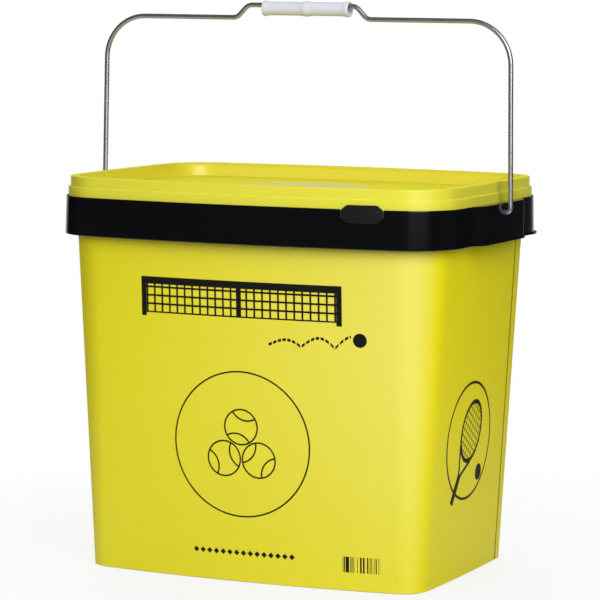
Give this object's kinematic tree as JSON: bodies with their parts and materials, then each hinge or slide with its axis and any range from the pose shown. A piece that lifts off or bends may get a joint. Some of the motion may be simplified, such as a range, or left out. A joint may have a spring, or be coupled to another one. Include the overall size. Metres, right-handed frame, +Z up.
{
  "type": "tennis ball bucket",
  "caption": "Tapered rectangular pail with a wrap label, a recessed lid, a tamper tab, and a wire bail with a loose grip that hooks into ears on the rim.",
  "frame": {"origin": "middle of the foot, on the ground", "axes": "+Z up, -Y towards the front, +X towards the side with the label's seam; the bail's hooks lie on a line along X"},
  "size_m": [0.405, 0.2966, 0.5099],
  "materials": {
    "black_plastic": "satin moulded polypropylene",
    "yellow_film": "printed film, semi-gloss",
    "yellow_plastic": "satin moulded polypropylene",
    "pale_film": "printed film, matte",
    "galvanised_steel": "bright galvanised wire",
    "white_plastic": "smooth moulded plastic"
  },
  "bodies": {
    "bucket": {"bucket_shell": "black_plastic", "wrap_label": "yellow_film"},
    "lid": {"snap_lid": "yellow_plastic", "lid_label": "pale_film"},
    "tab": {"tamper_tab": "black_plastic"},
    "bail": {"bail_wire": "galvanised_steel"},
    "grip": {"bail_grip": "white_plastic"}
  },
  "joints": [
    {"name": "lid_lift", "type": "slide", "parent": "bucket", "child": "lid", "axis": [0, 0, 1], "range_m": [0, 0.11]},
    {"name": "tab_hinge", "type": "hinge", "parent": "bucket", "child": "tab", "pos_m": [0.11731, -0.14058, 0.3235], "axis": [0.9926, 0.1211, 0], "range_deg": [0, 85]},
    {"name": "bail_swing", "type": "hinge", "parent": "bucket", "child": "bail", "pos_m": [0, 0, 0.3272], "axis": [1, 0, 0], "range_deg": [-126, 126]},
    {"name": "grip_turn", "type": "hinge", "parent": "bail", "child": "grip", "pos_m": [0, 0, 0.50285], "axis": [1, 0, 0], "continuous": true}
  ]
}
